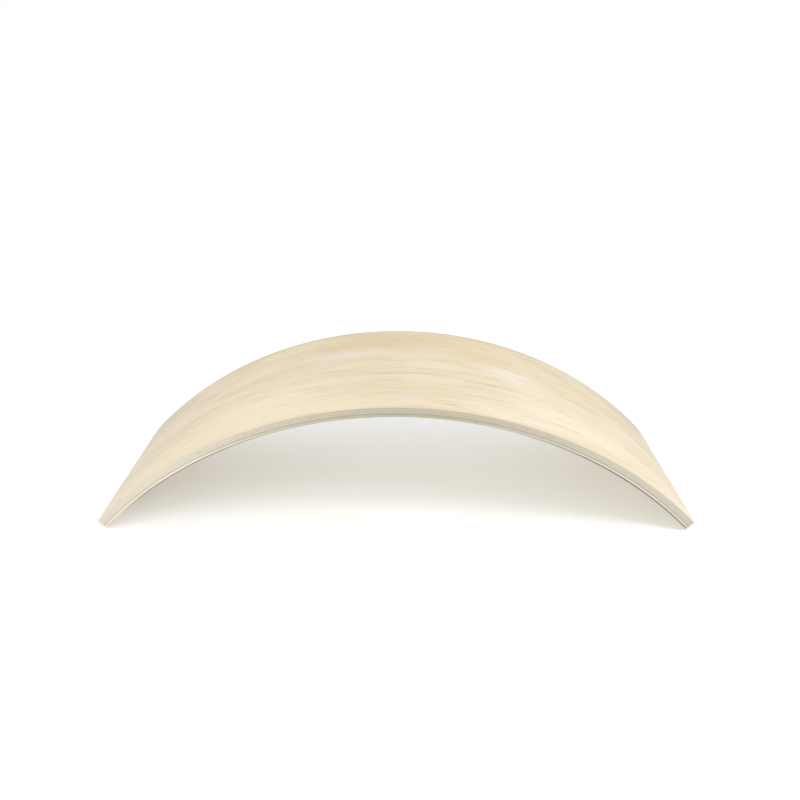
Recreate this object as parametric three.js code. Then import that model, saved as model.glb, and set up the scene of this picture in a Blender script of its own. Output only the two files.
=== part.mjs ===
// Wobble board: one sheet of plywood moulded to a circular arc, and stood on arch up or arch down.
// Nine veneers are glued over a curved former. The cold blank is then cut to outline through all
// of them, square to the faces, and the arrises are sanded round.
// Millimetres, +Z up. X runs along the board and Y across it. The board stands arch up on the
// arrises of its two ends, at Z = 0.
import * as THREE from "three";

// Driving dimensions
const BOARD_LENGTH = 830; // straight from end to end over the top face, before sanding
const BOARD_WIDTH = 300;
const TOP_RADIUS = 570; // bend radius of the top face
const FACE_VENEER = 1.5; // thickness of the top and the bottom veneer
const CORE_VENEER = 1.6; // thickness of each veneer between them
const CORE_COUNT = 7; // odd, so that the grain of both faces runs lengthwise
const GLUE_LINE = 0.1; // set glue between two veneers
const CORNER_RADIUS = 15; // the outline's four corners, measured on the top face
const ARRIS_RADIUS = 2; // sanded round between either face and the edge

// Steps in the curves
const BEND_STEPS = 64;
const CORNER_STEPS = 6;
const ARRIS_STEPS = 4;

const THICKNESS = 2 * FACE_VENEER + CORE_COUNT * CORE_VENEER + (CORE_COUNT + 1) * GLUE_LINE;
const ARRIS = Math.min(ARRIS_RADIUS, CORNER_RADIUS, THICKNESS / 2);

// The blank lies flat until it is bent: its length is the arc of the top face.
const HALF_ARC = TOP_RADIUS * Math.asin(BOARD_LENGTH / 2 / TOP_RADIUS);
const CORNER_ALONG = HALF_ARC - CORNER_RADIUS; // a corner's centre, from the middle of the board
const CORNER_ACROSS = BOARD_WIDTH / 2 - CORNER_RADIUS;

// Stations from the left end of the blank to the right one. Each starts from a foot on the line
// between the corner centres, and leans by the cosine and sine of the corner's turn there.
function stationsAlong() {
  const stations = [];
  for (let i = 0; i <= CORNER_STEPS; i++) {
    const turn = ((i / CORNER_STEPS) * Math.PI) / 2;
    stations.push({ foot: -CORNER_ALONG, lean: -Math.cos(turn), reach: Math.sin(turn) });
  }
  for (let i = 1; i < BEND_STEPS; i++) {
    stations.push({ foot: CORNER_ALONG * ((2 * i) / BEND_STEPS - 1), lean: 0, reach: 1 });
  }
  for (let i = CORNER_STEPS; i >= 0; i--) {
    const turn = ((i / CORNER_STEPS) * Math.PI) / 2;
    stations.push({ foot: CORNER_ALONG, lean: Math.cos(turn), reach: Math.sin(turn) });
  }
  return stations;
}

// How far the sanded arris draws the outline in, at a depth below the top face.
function drawnIn(depth) {
  const toFace = Math.min(depth, THICKNESS - depth);
  const rise = Math.max(ARRIS - toFace, 0);
  return ARRIS - Math.sqrt(ARRIS ** 2 - rise ** 2);
}

// The depths at which a veneer has a ring of its outline: its two faces, and each step of a sanded
// arris that lies between them.
function ringDepths(top, bottom) {
  const steps = [];
  for (let i = 0; i < ARRIS_STEPS; i++) {
    const depth = ARRIS * (1 - Math.sin(((i / ARRIS_STEPS) * Math.PI) / 2));
    steps.push(depth, THICKNESS - depth);
  }
  const between = steps.filter((depth) => depth > top + GLUE_LINE && depth < bottom - GLUE_LINE);
  return [top, ...between.sort((a, b) => a - b), bottom];
}

// One veneer, from its depth below the board's top face to the depth of its own underside. A flat
// box is trimmed to the outline at each ring, and then bent about the former's axis.
function mouldedVeneer(top, bottom) {
  const stations = stationsAlong();
  const depths = ringDepths(top, bottom);
  const blank = new THREE.BoxGeometry(1, 1, 1, stations.length - 1, 1, depths.length - 1);
  const points = blank.getAttribute("position");
  for (let i = 0; i < points.count; i++) {
    const station = stations[Math.round((points.getX(i) + 0.5) * (stations.length - 1))];
    const depth = depths[Math.round((0.5 - points.getZ(i)) * (depths.length - 1))];
    const corner = CORNER_RADIUS - drawnIn(depth);
    const along = station.foot + corner * station.lean;
    const across = Math.sign(points.getY(i)) * (CORNER_ACROSS + corner * station.reach);
    const angle = along / TOP_RADIUS;
    const radius = TOP_RADIUS - depth;
    points.setXYZ(i, radius * Math.sin(angle), across, radius * Math.cos(angle));
  }
  blank.computeVertexNormals();
  return blank;
}

// Clear-lacquered pale wood. Side grain shows light, and the end grain of the crossed veneers is
// darker at the board's long edges.
function wood(color, roughness) {
  return new THREE.MeshStandardMaterial({ color, roughness, metalness: 0 });
}
const faceWood = wood("#ead9b8", 0.45);
const longWood = wood("#d8cbb0", 0.6);
const crossWood = wood("#b9ab90", 0.7);

// The veneers are built about the axis of the former, each below the last, and lowered together
// until the two end arrises meet the ground.
const lamination = new THREE.Group();
const lastVeneer = CORE_COUNT + 2;
let top = 0;
for (let number = 1; number <= lastVeneer; number++) {
  const isFace = number === 1 || number === lastVeneer;
  const isCrossed = number % 2 === 0;
  const bottom = top + (isFace ? FACE_VENEER : CORE_VENEER);
  const material = isFace ? faceWood : isCrossed ? crossWood : longWood;
  const veneer = new THREE.Mesh(mouldedVeneer(top, bottom), material.clone());
  if (isFace) veneer.name = number === 1 ? "top_face_veneer" : "bottom_face_veneer";
  else veneer.name = `${isCrossed ? "cross" : "long"}_veneer_${number}`;
  lamination.add(veneer);
  top = bottom + GLUE_LINE;
}
lamination.position.z = -new THREE.Box3().setFromObject(lamination).min.z;

const wobbleBoard = new THREE.Group();
wobbleBoard.add(lamination);

export default wobbleBoard;
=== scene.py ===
# Wobble board: an arched balance board for children, standing on its two ends. One sheet of
# moulded plywood: nine pale veneers, glued over a curved former, cut to outline and lacquered.
import math

import bmesh
import bpy
from mathutils import Matrix, Vector


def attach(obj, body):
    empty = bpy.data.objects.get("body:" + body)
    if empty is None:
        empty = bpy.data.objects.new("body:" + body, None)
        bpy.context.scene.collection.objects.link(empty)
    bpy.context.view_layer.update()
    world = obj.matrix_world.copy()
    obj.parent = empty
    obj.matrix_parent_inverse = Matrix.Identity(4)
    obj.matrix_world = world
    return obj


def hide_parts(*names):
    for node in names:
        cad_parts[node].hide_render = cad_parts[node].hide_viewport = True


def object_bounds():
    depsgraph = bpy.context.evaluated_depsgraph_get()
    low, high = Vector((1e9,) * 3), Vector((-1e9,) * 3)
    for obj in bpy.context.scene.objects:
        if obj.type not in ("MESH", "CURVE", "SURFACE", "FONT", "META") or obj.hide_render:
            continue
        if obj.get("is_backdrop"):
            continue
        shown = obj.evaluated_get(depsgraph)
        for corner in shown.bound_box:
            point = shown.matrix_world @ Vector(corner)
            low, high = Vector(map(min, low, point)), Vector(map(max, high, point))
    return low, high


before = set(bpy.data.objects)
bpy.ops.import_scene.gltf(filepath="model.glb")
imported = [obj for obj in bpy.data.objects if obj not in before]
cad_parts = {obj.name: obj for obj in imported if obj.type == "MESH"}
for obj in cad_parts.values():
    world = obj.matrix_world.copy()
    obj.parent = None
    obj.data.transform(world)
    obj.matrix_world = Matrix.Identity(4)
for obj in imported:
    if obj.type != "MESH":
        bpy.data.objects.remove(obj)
cad_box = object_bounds()


# Camera. It stands in front of the board and a little above it, close enough that the near edge
# of the arch reads wider than the far one.
CAMERA_PLACE = (0.0175, -1.0702, 0.6085)
CAMERA_TURN = math.radians(0.64)  # to the left of straight ahead
CAMERA_DIP = math.radians(24.01)
CAMERA_TILT = math.radians(-0.22)  # the horizon's slope in the picture
CAMERA_LENS_MM = 35.45
CAMERA_SENSOR_MM = 36

camera = bpy.data.objects.new("camera", bpy.data.cameras.new("camera"))
camera.data.sensor_width = CAMERA_SENSOR_MM
camera.data.lens = CAMERA_LENS_MM
camera.matrix_world = (
    Matrix.Translation(CAMERA_PLACE)
    @ Matrix.Rotation(CAMERA_TURN, 4, "Z")
    @ Matrix.Rotation(math.pi / 2 - CAMERA_DIP, 4, "X")
    @ Matrix.Rotation(CAMERA_TILT, 4, "Z")
)
bpy.context.scene.collection.objects.link(camera)
bpy.context.scene.camera = camera
bpy.context.scene.view_settings.view_transform = "Standard"


# Floor and light. The board stands in a white tent, on a white floor that runs out of sight. The
# tent gives most of the light. One softbox hangs high on the right, in front of the board, and a
# weaker one stands low on the left.
FLOOR_HALF = 30.0  # metres from its middle to its edges
FLOOR_COLOUR = "#f1f5f9"
FLOOR_GLOW = 0.292  # seen, but lighting nothing: the open floor turns white by it
GLOW_NEAR = 1.0  # metres from the board's middle, within which the glow is even
GLOW_FAR = 3.0  # from here on it is full, so that no horizon shows
TENT_LIGHT = 0.71
SOFTBOX_SIDE = 0.75
SOFTBOX_AIM = Vector((0.0, 0.0, 0.1))
SOFTBOXES = {
    "softbox_right": {"place": Vector((0.9, -0.7, 1.4)), "watts": 10.7},
    "softbox_left": {"place": Vector((-1.4, -0.8, 0.4)), "watts": 4.4},
}


def linear(hex_colour):
    """The linear colour, with alpha 1, of an sRGB hex value such as #f2f1ee."""
    parts = [int(hex_colour[i : i + 2], 16) / 255 for i in (1, 3, 5)]
    return [c / 12.92 if c <= 0.04045 else ((c + 0.055) / 1.055) ** 2.4 for c in parts] + [1]


def add_node(tree, kind, inputs={}, **settings):
    """Adds a node with its settings. Each input is a value, or the socket that it links to."""
    node = tree.nodes.new(kind)
    for key, value in settings.items():
        setattr(node, key, value)
    for key, value in inputs.items():
        if isinstance(value, bpy.types.NodeSocket):
            tree.links.new(value, node.inputs[key])
        else:
            node.inputs[key].default_value = value
    return node


def empty_material(name):
    """A new material and its node tree, with nothing in it yet."""
    material = bpy.data.materials.new(name)
    material.use_nodes = True
    material.node_tree.nodes.clear()
    return material, material.node_tree


def background_rays(tree):
    """1 for the rays to which the background is plain white, and 0 for those that light things."""
    rays = add_node(tree, "ShaderNodeLightPath")
    found = rays.outputs["Is Camera Ray"]
    for kind_of_ray in ("Is Glossy Ray", "Is Transmission Ray"):
        found = add_node(
            tree,
            "ShaderNodeMath",
            {0: found, 1: rays.outputs[kind_of_ray]},
            operation="MAXIMUM",
        ).outputs[0]
    return found


# Matt white paint on a smooth screed. It keeps the board's soft shadow.
paint, tree = empty_material("matt_white_floor_paint")
spot = add_node(tree, "ShaderNodeNewGeometry").outputs["Position"]
distance = add_node(tree, "ShaderNodeVectorMath", {0: spot}, operation="LENGTH").outputs["Value"]
level = add_node(
    tree,
    "ShaderNodeMapRange",
    {"Value": distance, "From Min": GLOW_NEAR, "From Max": GLOW_FAR, "To Min": FLOOR_GLOW},
).outputs[0]
seen = add_node(
    tree,
    "ShaderNodeMath",
    {0: background_rays(tree), 1: level},
    operation="MULTIPLY",
)
glow = add_node(
    tree,
    "ShaderNodeEmission",
    {"Color": linear("#ffffff"), "Strength": seen.outputs[0]},
)
matt = add_node(tree, "ShaderNodeBsdfDiffuse", {"Color": linear(FLOOR_COLOUR)})
both = add_node(tree, "ShaderNodeAddShader", {0: matt.outputs[0], 1: glow.outputs[0]})
add_node(tree, "ShaderNodeOutputMaterial", {"Surface": both.outputs[0]})

mesh = bmesh.new()
bmesh.ops.create_grid(mesh, x_segments=1, y_segments=1, size=FLOOR_HALF)
floor = bpy.data.objects.new("floor", bpy.data.meshes.new("floor"))
mesh.to_mesh(floor.data)
mesh.free()
floor.data.materials.append(paint)
bpy.context.scene.collection.objects.link(floor)
floor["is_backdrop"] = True

world = bpy.data.worlds.new("white_tent")
bpy.context.scene.world = world
world.use_nodes = True
tree = world.node_tree
tree.nodes.clear()
strength = add_node(
    tree,
    "ShaderNodeMapRange",
    {"Value": background_rays(tree), "To Min": TENT_LIGHT, "To Max": 1.0},
)
tent = add_node(
    tree,
    "ShaderNodeBackground",
    {"Color": linear("#ffffff"), "Strength": strength.outputs[0]},
)
add_node(tree, "ShaderNodeOutputWorld", {"Surface": tent.outputs[0]})

for name, lamp in SOFTBOXES.items():
    softbox = bpy.data.objects.new(name, bpy.data.lights.new(name, "AREA"))
    softbox.data.shape = "SQUARE"
    softbox.data.size = SOFTBOX_SIDE
    softbox.data.energy = lamp["watts"]
    back = (lamp["place"] - SOFTBOX_AIM).to_track_quat("Z", "Y").to_matrix().to_4x4()
    softbox.matrix_world = Matrix.Translation(lamp["place"]) @ back
    bpy.context.scene.collection.objects.link(softbox)


# The blank. Nine veneers are glued in a press, their grain lengthwise and crosswise by turns, and
# the sheet is cut to a rectangle with round corners. Both its arrises are sanded round. It is made
# flat here, with what the grain needs to know, and each veneer is cut from it and then bent.
BLANK_LENGTH = 0.830  # straight from end to end once bent
TOP_RADIUS = 0.570
CORNER_RADIUS = 0.015
ARRIS_RADIUS = 0.002
FACE_VENEER = 0.00154  # each sheet carries the glue that set on it
CORE_VENEER = 0.00168
CORE_COUNT = 7
GLUE_LINE = 0.00002
CORNER_STEPS = 18
ARRIS_STEPS = 8
ARRIS_SEAT = 0.0006  # a narrow flat ring, so that the face shades flat up to its arris
BEND_STEPS = 180
LEVEL = 0.9999  # a face that points this nearly up or down is level
CREASE = math.radians(40)  # a sharper fold than this isn't shaded smooth

thickness = 2 * FACE_VENEER + CORE_COUNT * CORE_VENEER + (CORE_COUNT + 1) * GLUE_LINE
blank_width = cad_box[1][1] - cad_box[0][1]
blank_half = TOP_RADIUS * math.asin(BLANK_LENGTH / 2 / TOP_RADIUS)
crown = cad_box[1][2]

blank = bmesh.new()
bmesh.ops.create_cube(blank, size=1)
bmesh.ops.scale(blank, vec=(2 * blank_half, blank_width, thickness), verts=blank.verts)
bmesh.ops.translate(blank, vec=(0, 0, -thickness / 2), verts=blank.verts)
upright = [e for e in blank.edges if abs(e.verts[0].co.z - e.verts[1].co.z) > thickness / 2]
bmesh.ops.bevel(
    blank,
    geom=upright,
    offset=CORNER_RADIUS,
    segments=CORNER_STEPS,
    profile=0.5,
    affect="EDGES",
    material=-1,
)
level_faces = [f for f in blank.faces if abs(f.normal.z) > LEVEL]
bmesh.ops.bevel(
    blank,
    geom=list({e for f in level_faces for e in f.edges}),
    offset=ARRIS_RADIUS,
    segments=ARRIS_STEPS,
    profile=0.5,
    affect="EDGES",
    material=-1,
)
level_faces = [f for f in blank.faces if abs(f.normal.z) > LEVEL]
bmesh.ops.inset_individual(
    blank,
    faces=level_faces,
    thickness=ARRIS_SEAT,
    use_even_offset=True,
)

# Where each point lies on the flat sheet, and which way the surface faces there. Both bend with
# the sheet, so the grain follows the arch.
blank.normal_update()
flat = blank.verts.layers.float_vector.new("flat")
facing = blank.verts.layers.float_vector.new("facing")
for vertex in blank.verts:
    vertex[flat] = vertex.co
    vertex[facing] = vertex.normal


# How pale each sheet's edge is, from the top sheet down, and then painted light and shade along
# the board: lighter towards the left end, darker at the crown. A row of a table along the board is
# a place on the flat sheet in metres, and the value there.
SHADES = (1.02, 0.98, 0.95, 0.97, 0.95, 0.80, 0.92, 1.19, 1.18)
PAINTED_LIGHT_ALONG = ((-0.33, 1.22), (0.0, 0.87), (0.33, 0.99))
LOW_SHEETS_FROM = 7  # from here down, edges are duller at the crown and paler towards the ends
# Partly sheet tone, partly painted shade at the crown and painted light towards the ends.
LOW_PAINTED_LIGHT_ALONG = ((-0.43, 1.0), (-0.30, 1.08), (-0.13, 0.86), (0.08, 0.86), (0.30, 1.08))
# The edges are less yellow towards the ends: distances from the crown at which they start to
# pale and are palest, and how much colour is left there.
PALING_FROM = 0.10
PALING_FULL = 0.28
COLOUR_LEFT = 0.80
# Painted shade: a thin brown line on the lower arris of the long edges, where it turns down into
# the board's shade. How strong it is along the board: it fades towards the crown and the left end.
ARRIS_SHADE_BROWN = "#4d3c22"
ARRIS_SHADE_FACING = 0.3  # it is only where the surface faces sideways by more than this
ARRIS_SHADE_FROM = 0.0128  # depth at which the brown starts, and where it is full
ARRIS_SHADE_FULL = 0.0133
ARRIS_SHADE_ALONG = (
    (-0.43, 0.0),
    (-0.37, 0.7),
    (-0.25, 0.7),
    (-0.14, 0.0),
    (0.14, 0.0),
    (0.26, 0.8),
    (0.33, 1.0),
    (0.44, 0.8),
)


def between(table, along):
    """The table's value at a place along the board, drawn straight from one entry to the next."""
    if along <= table[0][0]:
        return table[0][1]
    for (start, low), (end, high) in zip(table, table[1:]):
        if along <= end:
            return low + (high - low) * (along - start) / (end - start)
    return table[-1][1]


def moulded_veneer(number, material):
    """One veneer, counted from the top, cut from the flat blank and bent over the former."""
    top = 0
    if number > 1:
        top = FACE_VENEER + GLUE_LINE + (number - 2) * (CORE_VENEER + GLUE_LINE)
    is_face = number in (1, CORE_COUNT + 2)
    bottom = top + (FACE_VENEER if is_face else CORE_VENEER)
    cuts = []
    if number > 1:
        cuts.append((top, 1))
    if number < CORE_COUNT + 2:
        cuts.append((bottom, -1))

    veneer = blank.copy()
    for depth, outward in cuts:
        cut = bmesh.ops.bisect_plane(
            veneer,
            geom=veneer.verts[:] + veneer.edges[:] + veneer.faces[:],
            plane_co=(0, 0, -depth),
            plane_no=(0, 0, outward),
            clear_outer=True,
        )
        rim = [e for e in cut["geom_cut"] if isinstance(e, bmesh.types.BMEdge)]
        bmesh.ops.edgeloop_fill(veneer, edges=rim)
    for step in range(1, BEND_STEPS):
        bmesh.ops.bisect_plane(
            veneer,
            geom=veneer.verts[:] + veneer.edges[:] + veneer.faces[:],
            plane_co=(blank_half * (2 * step / BEND_STEPS - 1), 0, 0),
            plane_no=(1, 0, 0),
        )
    bmesh.ops.recalc_face_normals(veneer, faces=veneer.faces)
    for vertex in veneer.verts:
        angle = vertex.co.x / TOP_RADIUS
        radius = TOP_RADIUS + vertex.co.z
        vertex.co.x = radius * math.sin(angle)
        vertex.co.z = crown - TOP_RADIUS + radius * math.cos(angle)
    veneer.normal_update()
    for face in veneer.faces:
        face.smooth = True
    for edge in veneer.edges:
        edge.smooth = edge.calc_face_angle(0) < CREASE

    name = "core_veneer_" + str(number)
    if is_face:
        name = "top_face" if number == 1 else "bottom_face"
    piece = bpy.data.objects.new("finished_" + name, bpy.data.meshes.new("finished_" + name))
    veneer.to_mesh(piece.data)
    veneer.free()
    piece.data.materials.append(material)
    places = [p.vector.copy() for p in piece.data.attributes["flat"].data]
    sideways = [abs(p.vector.y) for p in piece.data.attributes["facing"].data]
    # Each sheet's own tone, times the painted light and shade along the board.
    tones_and_painted_light = [SHADES[number - 1] * between(PAINTED_LIGHT_ALONG, p.x) for p in places]
    if number >= LOW_SHEETS_FROM:
        tones_and_painted_light = [s * between(LOW_PAINTED_LIGHT_ALONG, p.x) for s, p in zip(tones_and_painted_light, places)]
    # Where the painted arris shade lies along the board.
    painted_arris_shade = [
        between(ARRIS_SHADE_ALONG, p.x) * (s > ARRIS_SHADE_FACING) for p, s in zip(places, sideways)
    ]
    for layer, values in (("tone_and_painted_light", tones_and_painted_light), ("painted_arris_shade", painted_arris_shade)):
        attribute = piece.data.attributes.new(layer, "FLOAT", "POINT")
        attribute.data.foreach_set("value", values)
    bpy.context.scene.collection.objects.link(piece)
    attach(piece, "root")
    return piece


def paint_arris_shade(tree, wood, flat_place):
    """Lays the painted shade of the lower arris, a thin brown line, over the wood."""
    height = add_node(tree, "ShaderNodeSeparateXYZ", {0: flat_place}).outputs["Z"]
    low = add_node(
        tree,
        "ShaderNodeMapRange",
        {"Value": height, "From Min": -ARRIS_SHADE_FROM, "From Max": -ARRIS_SHADE_FULL},
    ).outputs[0]
    painted_arris_shade = add_node(tree, "ShaderNodeAttribute", attribute_name="painted_arris_shade").outputs["Fac"]
    brown = add_node(tree, "ShaderNodeMath", {0: painted_arris_shade, 1: low}, operation="MULTIPLY").outputs[0]
    return add_node(
        tree,
        "ShaderNodeMix",
        {0: brown, 6: wood, 7: linear(ARRIS_SHADE_BROWN)},
        data_type="RGBA",
    ).outputs[2]


def sanded_edge(tree, wood, flat_place):
    """Wood at an edge, in its sheet's tone with painted light and shade, and less yellow at the
    ends.
    """
    along = add_node(tree, "ShaderNodeSeparateXYZ", {0: flat_place}).outputs["X"]
    from_crown = add_node(tree, "ShaderNodeMath", {0: along}, operation="ABSOLUTE").outputs[0]
    colour_left = add_node(
        tree,
        "ShaderNodeMapRange",
        {
            "Value": from_crown,
            "From Min": PALING_FROM,
            "From Max": PALING_FULL,
            "To Min": 1.0,
            "To Max": COLOUR_LEFT,
        },
    ).outputs[0]
    tone_and_painted_light = add_node(tree, "ShaderNodeAttribute", attribute_name="tone_and_painted_light").outputs["Fac"]
    return add_node(
        tree,
        "ShaderNodeHueSaturation",
        {"Saturation": colour_left, "Value": tone_and_painted_light, "Color": wood},
    ).outputs[0]


FIGURE_ROUGHNESS = 0.55  # how strong the finer of its layers are
FIGURE_LOW = 0.3  # nearly all of its values lie between these two
FIGURE_HIGH = 0.7


def figure(tree, place, size, shift=0.0, detail=2.0):
    """Noise whose patches have a real size in metres: along, across and through the sheet."""
    drawn_out = add_node(
        tree,
        "ShaderNodeMapping",
        {"Vector": place, "Location": (shift, shift, shift), "Scale": [1 / s for s in size]},
    )
    patches = add_node(
        tree,
        "ShaderNodeTexNoise",
        {
            "Vector": drawn_out.outputs[0],
            "Scale": 1.0,
            "Detail": detail,
            "Roughness": FIGURE_ROUGHNESS,
        },
    )
    return patches.outputs["Fac"]


# Face veneers. The top and the bottom of the board are its two best sheets of birch, peeled in
# one turn after another from the log, so the growth rings cross them as long flames. They are
# glued on with the grain lengthwise, and sanded fine.
FACE_PALE = "#f3e8d2"
FACE_TAN = "#dac18c"
FACE_CLOUD = "#ece8df"
FACE_STROKE = "#cfb07a"
# The next colour is painted shade along the face's long edges.
FACE_EDGE_SHADE = "#b9a986"
FACE_SIDE = "#d3c7ab"
FACE_END = "#c4b08b"
BOTTOM_SHIFT = (1.7, 0.9, 0.0)  # metres in the figure from the top veneer to the bottom one
# Sizes of the figure's patches in metres: along, across and through the sheet.
WANDER_PATCH = (0.40, 0.09, 1.0)
RING_FIELD = (0.80, 0.11, 1.0)
RING_PATCH = (0.30, 0.06, 1.0)
BROAD_PATCH = (0.230, 0.065, 0.20)
STREAK = (0.120, 0.0200, 0.05)
FINE_STREAK = (0.060, 0.0035, 0.02)
FIBRE = (0.030, 0.0007, 0.0007)  # drawn coarse, to show: a real vessel is 0.1 to 0.2 mm wide
CLOUD = (0.160, 0.045, 0.20)
STROKE = (0.045, 0.0045, 0.02)
WANDER = 0.030  # between the furthest that the grain strays to either side
RINGS = 13  # growth rings between the lowest and the highest value of their field
RING_FEATHER = 1.4  # how far the fine streaks feather a ring's edge, in rings
LATE_WOOD = 2.5  # the higher, the later in its ring the wood darkens
RINGS_FROM = 0.42  # the value of their patches from which the rings show, and show in full
RINGS_FULL = 0.62
TAN_MEAN = 0.40
HEARTWOOD = 1.1  # how much more tan the wood is for each metre towards the far edge
BOTTOM_TAN = 0.25  # how much more tan the bottom veneer is
NEAR_BORDER = 0.12  # how far the painted edge shade darkens the wood at the near and the far edge
FAR_BORDER = 0.75
BORDER_FROM = 0.006  # distance from the edge at which it starts to darken, and is darkest
BORDER_FULL = 0.003
MARK_RAGGED = 1.6  # how far the fine streaks tear a mark's rim, in half widths
MARK_FULL = 0.8  # within this it is full, and beyond the next it is gone, in half widths
MARK_GONE = 2.0
FACE_ROUGHNESS = (0.42, 0.54)
FACE_RELIEF = 0.25  # share of the fibres' full relief that sanding has left
FIBRE_RELIEF = 0.0001  # metres
LACQUER_IOR = 1.5
FACE_MARKS_AND_PAINTED_LIGHT = (  # colour, share, middle along and across the top sheet, half length and half width
    ("#f0eee6", 0.52, (-0.085, 0.050), (0.085, 0.016)),
    ("#f3efe6", 0.42, (0.170, 0.022), (0.085, 0.020)),
    ("#d7b98a", 0.40, (-0.130, 0.093), (0.110, 0.018)),
    ("#c9ab7c", 0.42, (0.000, -0.032), (0.085, 0.006)),
    ("#c9ab7c", 0.38, (0.140, -0.040), (0.070, 0.006)),
    ("#c9ab7c", 0.35, (0.115, -0.091), (0.055, 0.005)),
    ("#c9ab7c", 0.35, (-0.220, -0.102), (0.055, 0.006)),
    ("#c9ab7c", 0.30, (0.290, 0.012), (0.055, 0.007)),
    ("#e3ddcf", 0.40, (0.010, -0.113), (0.065, 0.015)),
    ("#dcd8ce", 0.30, (0.290, 0.125), (0.120, 0.040)),
    ("#c3a474", 0.28, (0.268, 0.108), (0.034, 0.010)),
    # Painted highlights: pale golden pools of light on the right and the left near flank.
    ("#fbebcb", 0.40, (0.290, -0.095), (0.150, 0.055)),
    ("#fbebcb", 0.80, (-0.220, -0.085), (0.160, 0.080)),
    ("#c9ab7c", 0.38, (0.330, -0.130), (0.070, 0.005)),
    ("#fff2d4", 0.45, (-0.130, -0.140), (0.160, 0.050)),
    ("#f4e9cf", 0.35, (-0.200, 0.075), (0.130, 0.035)),
    ("#f2dcae", 0.30, (-0.340, -0.110), (0.140, 0.070)),
    # Painted shade: greyish patches that darken the far corners and both ends.
    ("#c0b8a8", 0.62, (0.440, 0.140), (0.120, 0.070)),
    ("#c4bfb4", 0.55, (-0.440, 0.140), (0.120, 0.070)),
    ("#cfc6b2", 0.30, (0.460, 0.060), (0.100, 0.140)),
    ("#cfc6b2", 0.35, (-0.460, 0.030), (0.110, 0.200)),
)

# Lacquered birch. Clear satin lacquer over fine sanded wood: cream with soft tan streaks that
# run with the arch, pale greyish bands, short darker flecks and a low, broad sheen.
lacquered_birch, tree = empty_material("lacquered_birch_face_veneer")
flat_place = add_node(tree, "ShaderNodeAttribute", attribute_name="flat").outputs["Vector"]
toward = add_node(tree, "ShaderNodeAttribute", attribute_name="facing").outputs["Vector"]

# The bottom veneer comes from elsewhere in the log, where the wood is more tan.
height = add_node(tree, "ShaderNodeSeparateXYZ", {0: flat_place}).outputs["Z"]
is_bottom = add_node(
    tree,
    "ShaderNodeMath",
    {0: height, 1: -thickness / 2},
    operation="LESS_THAN",
).outputs[0]
elsewhere = add_node(
    tree,
    "ShaderNodeVectorMath",
    {0: BOTTOM_SHIFT, "Scale": is_bottom},
    operation="SCALE",
).outputs[0]
place = add_node(
    tree,
    "ShaderNodeVectorMath",
    {0: flat_place, 1: elsewhere},
    operation="ADD",
).outputs[0]

# The grain strays sideways by a few millimetres.
wander = add_node(
    tree,
    "ShaderNodeMath",
    {0: figure(tree, place, WANDER_PATCH, shift=4.1), 1: WANDER, 2: -WANDER / 2},
    operation="MULTIPLY_ADD",
).outputs[0]
sideways = add_node(tree, "ShaderNodeCombineXYZ", {"Y": wander}).outputs[0]
sheet_place = place
place = add_node(
    tree,
    "ShaderNodeVectorMath",
    {0: place, 1: sideways},
    operation="ADD",
).outputs[0]

# Growth rings: each darkens slowly into its late wood and ends sharply, with a feathered edge.
fine_streaks = figure(tree, place, FINE_STREAK, shift=7.7)
ring_field = figure(tree, place, RING_FIELD, shift=9.3, detail=1.0)
ring_turn = add_node(tree, "ShaderNodeMath", {0: ring_field, 1: RINGS}, operation="MULTIPLY")
feathered = add_node(
    tree,
    "ShaderNodeMath",
    {0: fine_streaks, 1: RING_FEATHER, 2: ring_turn.outputs[0]},
    operation="MULTIPLY_ADD",
)
ring_step = add_node(tree, "ShaderNodeMath", {0: feathered.outputs[0]}, operation="FRACT")
late_wood = add_node(
    tree,
    "ShaderNodeMath",
    {0: ring_step.outputs[0], 1: LATE_WOOD},
    operation="POWER",
)
ring_patch = figure(tree, place, RING_PATCH, shift=2.7)
ring_patch = add_node(
    tree,
    "ShaderNodeMapRange",
    {"Value": ring_patch, "From Min": RINGS_FROM, "From Max": RINGS_FULL},
)
rings = add_node(
    tree,
    "ShaderNodeMath",
    {0: late_wood.outputs[0], 1: ring_patch.outputs[0]},
    operation="MULTIPLY",
).outputs[0]

# How tan the wood is, layer by layer with its weight: broad patches, streaks, finer streaks,
# fibres and rings. The sheet was peeled nearer to the heartwood towards its far edge.
fibres = figure(tree, place, FIBRE, shift=1.9)
across_board = add_node(tree, "ShaderNodeSeparateXYZ", {0: flat_place}).outputs["Y"]
tan_layers = (
    (figure(tree, place, BROAD_PATCH, shift=3.4), 0.90),
    (figure(tree, place, STREAK, shift=5.3), 0.60),
    (fine_streaks, 0.34),
    (fibres, 0.45),
    (rings, 0.22),
)
tan_share = TAN_MEAN - sum(weight for layer, weight in tan_layers[:-1]) / 2
for layer, weight in (*tan_layers, (across_board, HEARTWOOD), (is_bottom, BOTTOM_TAN)):
    tan_share = add_node(
        tree,
        "ShaderNodeMath",
        {0: layer, 1: weight, 2: tan_share},
        operation="MULTIPLY_ADD",
    ).outputs[0]
wood = add_node(
    tree,
    "ShaderNodeMix",
    {0: tan_share, 6: linear(FACE_PALE), 7: linear(FACE_TAN)},
    data_type="RGBA",
).outputs[2]

# Whitish clouds and sparse darker strokes, here and there on both faces.
for colour, size, shift, low, high, most in (
    (FACE_CLOUD, CLOUD, 3.2, 0.52, 0.76, 0.22),
    (FACE_STROKE, STROKE, 6.6, 0.56, 0.76, 0.50),
):
    share = add_node(
        tree,
        "ShaderNodeMapRange",
        {
            "Value": figure(tree, place, size, shift=shift),
            "From Min": low,
            "From Max": high,
            "To Max": most,
        },
        interpolation_type="SMOOTHSTEP",
    ).outputs[0]
    wood = add_node(
        tree,
        "ShaderNodeMix",
        {0: share, 6: wood, 7: linear(colour)},
        data_type="RGBA",
    ).outputs[2]
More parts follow.
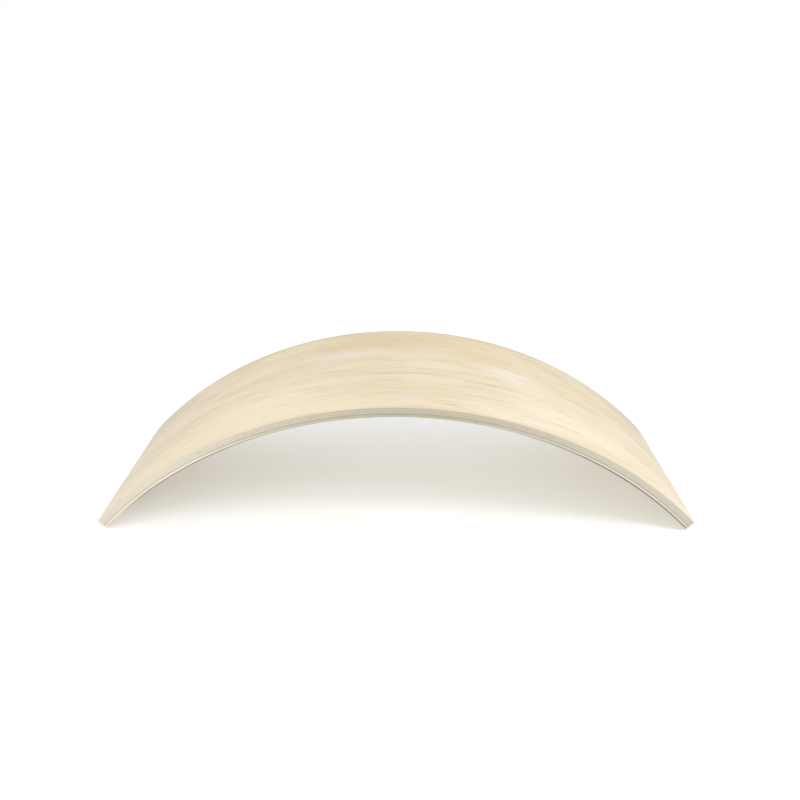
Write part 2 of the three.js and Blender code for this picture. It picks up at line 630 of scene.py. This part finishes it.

# The marks that the top sheet has, with painted highlights on the near flanks and painted shade
# at the far corners and the ends. Each is a soft oval with a ragged rim.
for colour, most, middle, half_size in FACE_MARKS_AND_PAINTED_LIGHT:
    from_middle = add_node(
        tree,
        "ShaderNodeMapping",
        {
            "Vector": sheet_place,
            "Location": [-m / h for m, h in zip(middle, half_size)] + [0],
            "Scale": [1 / h for h in half_size] + [0],
        },
    ).outputs[0]
    from_middle = add_node(
        tree,
        "ShaderNodeVectorMath",
        {0: from_middle},
        operation="LENGTH",
    ).outputs["Value"]
    ragged = add_node(
        tree,
        "ShaderNodeMath",
        {0: fine_streaks, 1: MARK_RAGGED, 2: from_middle},
        operation="MULTIPLY_ADD",
    ).outputs[0]
    share = add_node(
        tree,
        "ShaderNodeMapRange",
        {
            "Value": ragged,
            "From Min": MARK_FULL,
            "From Max": MARK_GONE,
            "To Min": most,
            "To Max": 0.0,
        },
        interpolation_type="SMOOTHSTEP",
    ).outputs[0]
    wood = add_node(
        tree,
        "ShaderNodeMix",
        {0: share, 6: wood, 7: linear(colour)},
        data_type="RGBA",
    ).outputs[2]

# Painted shade: the face darkens in the last millimetres before its long edges, and more so at
# the far one, where the arris turns away from the light.
for side, most in ((-1, NEAR_BORDER), (1, FAR_BORDER)):
    border = add_node(
        tree,
        "ShaderNodeMapRange",
        {
            "Value": across_board,
            "From Min": side * (blank_width / 2 - BORDER_FROM),
            "From Max": side * (blank_width / 2 - BORDER_FULL),
            "To Max": most,
        },
        interpolation_type="SMOOTHSTEP",
    ).outputs[0]
    wood = add_node(
        tree,
        "ShaderNodeMix",
        {0: border, 6: wood, 7: linear(FACE_EDGE_SHADE)},
        data_type="RGBA",
    ).outputs[2]

# Where the surface turns off the face, it shows the veneer's greyer side grain at the long edges
# and its end grain at the ends.
toward_parts = add_node(tree, "ShaderNodeSeparateXYZ", {0: toward})
for part, colour in (("Y", FACE_SIDE), ("X", FACE_END)):
    share = add_node(
        tree,
        "ShaderNodeMath",
        {0: toward_parts.outputs[part], 1: toward_parts.outputs[part]},
        operation="MULTIPLY",
    ).outputs[0]
    wood = add_node(
        tree,
        "ShaderNodeMix",
        {0: share, 6: wood, 7: sanded_edge(tree, linear(colour), flat_place)},
        data_type="RGBA",
    ).outputs[2]
# The painted shade on the lower arris.
wood = paint_arris_shade(tree, wood, flat_place)
sheen = add_node(
    tree,
    "ShaderNodeMapRange",
    {
        "Value": fibres,
        "From Min": FIGURE_LOW,
        "From Max": FIGURE_HIGH,
        "To Min": FACE_ROUGHNESS[0],
        "To Max": FACE_ROUGHNESS[1],
    },
).outputs[0]
fibre_relief = add_node(
    tree,
    "ShaderNodeBump",
    {"Height": fibres, "Strength": FACE_RELIEF, "Distance": FIBRE_RELIEF},
).outputs[0]
shader = add_node(
    tree,
    "ShaderNodeBsdfPrincipled",
    {"Base Color": wood, "Roughness": sheen, "Normal": fibre_relief, "IOR": LACQUER_IOR},
)
add_node(tree, "ShaderNodeOutputMaterial", {"Surface": shader.outputs[0]})

for number, node in ((1, "top_face_veneer"), (CORE_COUNT + 2, "bottom_face_veneer")):
    piece = moulded_veneer(number, lacquered_birch)
    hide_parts(node)


# Core veneers. Seven plainer sheets of birch between the faces, three with their grain lengthwise
# and four crosswise. Only their sanded edges show: pale side grain where a sheet is cut along its
# grain, and darker, duller end grain where it is cut across.
CORE_PALE = "#dfd4bd"
CORE_END = "#cfc3a8"
CORE_PORE = "#a8987a"
# Sizes of its figure's patches in metres: along the grain, across it and through the sheet. The
# fibres and pores are drawn several times coarser than real ones, so that they show.
CORE_FIBRE = (0.030, 0.0008, 0.0005)
CORE_LAYER = (0.25, 0.08, 0.0006)
CORE_PATCH = (0.06, 0.06, 0.004)
CORE_PORES = (0.020, 0.0012, 0.0009)
CORE_DARK_MEAN = 0.1  # how far side grain goes from the pale colour to the end grain's
CORE_END_DARKER = 0.75  # how much further end grain goes
PORES_FROM = 0.66  # the value of their figure from which pores show, and show in full
PORES_FULL = 0.80
PORES_SHARE = 0.5  # how far the wood then turns to their colour
CORE_ROUGHNESS = (0.50, 0.65)  # of side grain and of end grain
CORE_RELIEF = 0.4  # share of the fibres' full relief, as for the faces


# Sanded birch edges. The lacquer has soaked in, so they are nearly matt: pale and finely lined
# where the grain runs along the cut, and greyer, with small pores, where it ends there.
def core_birch(name, crosswise):
    """The sanded and lacquered edge of core sheets that all have their grain one way."""
    material, tree = empty_material(name)
    flat_place = add_node(tree, "ShaderNodeAttribute", attribute_name="flat").outputs["Vector"]
    toward = add_node(tree, "ShaderNodeAttribute", attribute_name="facing").outputs["Vector"]

    def laid(size):
        """The size, with its length laid the way of this sheet's grain."""
        length, width, height = size
        return (width, length, height) if crosswise else size

    fibres = figure(tree, flat_place, laid(CORE_FIBRE), shift=1.3)
    layers = figure(tree, flat_place, laid(CORE_LAYER), shift=8.8)
    patches = figure(tree, flat_place, laid(CORE_PATCH), shift=5.9)
    toward_parts = add_node(tree, "ShaderNodeSeparateXYZ", {0: toward})
    across_grain = toward_parts.outputs["Y" if crosswise else "X"]
    end_share = add_node(
        tree,
        "ShaderNodeMath",
        {0: across_grain, 1: across_grain},
        operation="MULTIPLY",
    ).outputs[0]
    dark_layers = ((fibres, 0.9), (layers, 0.9), (patches, 0.6))
    dark_share = CORE_DARK_MEAN - sum(weight for layer, weight in dark_layers) / 2
    for layer, weight in (*dark_layers, (end_share, CORE_END_DARKER)):
        dark_share = add_node(
            tree,
            "ShaderNodeMath",
            {0: layer, 1: weight, 2: dark_share},
            operation="MULTIPLY_ADD",
        ).outputs[0]
    wood = add_node(
        tree,
        "ShaderNodeMix",
        {0: dark_share, 6: linear(CORE_PALE), 7: linear(CORE_END)},
        data_type="RGBA",
    ).outputs[2]
    pores = add_node(
        tree,
        "ShaderNodeMapRange",
        {
            "Value": figure(tree, flat_place, laid(CORE_PORES), detail=0.0),
            "From Min": PORES_FROM,
            "From Max": PORES_FULL,
            "To Max": PORES_SHARE,
        },
    ).outputs[0]
    wood = add_node(
        tree,
        "ShaderNodeMix",
        {0: pores, 6: wood, 7: linear(CORE_PORE)},
        data_type="RGBA",
    ).outputs[2]
    # The sheet's tone with its painted light, then the painted shade on the lower arris.
    wood = paint_arris_shade(tree, sanded_edge(tree, wood, flat_place), flat_place)
    dull = add_node(
        tree,
        "ShaderNodeMapRange",
        {"Value": end_share, "To Min": CORE_ROUGHNESS[0], "To Max": CORE_ROUGHNESS[1]},
    ).outputs[0]
    relief = add_node(
        tree,
        "ShaderNodeBump",
        {"Height": fibres, "Strength": CORE_RELIEF, "Distance": FIBRE_RELIEF},
    ).outputs[0]
    shader = add_node(
        tree,
        "ShaderNodeBsdfPrincipled",
        {"Base Color": wood, "Roughness": dull, "Normal": relief, "IOR": LACQUER_IOR},
    )
    add_node(tree, "ShaderNodeOutputMaterial", {"Surface": shader.outputs[0]})
    return material


lengthwise_birch = core_birch("sanded_birch_lengthwise", crosswise=False)
crosswise_birch = core_birch("sanded_birch_crosswise", crosswise=True)
for number in range(2, CORE_COUNT + 2):
    crosswise = number % 2 == 0
    piece = moulded_veneer(number, crosswise_birch if crosswise else lengthwise_birch)
    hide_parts(f"cross_veneer_{number}" if crosswise else f"long_veneer_{number}")
blank.free()


size = {"cad": [list(c) for c in cad_box], "visual": [list(c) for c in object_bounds()]}
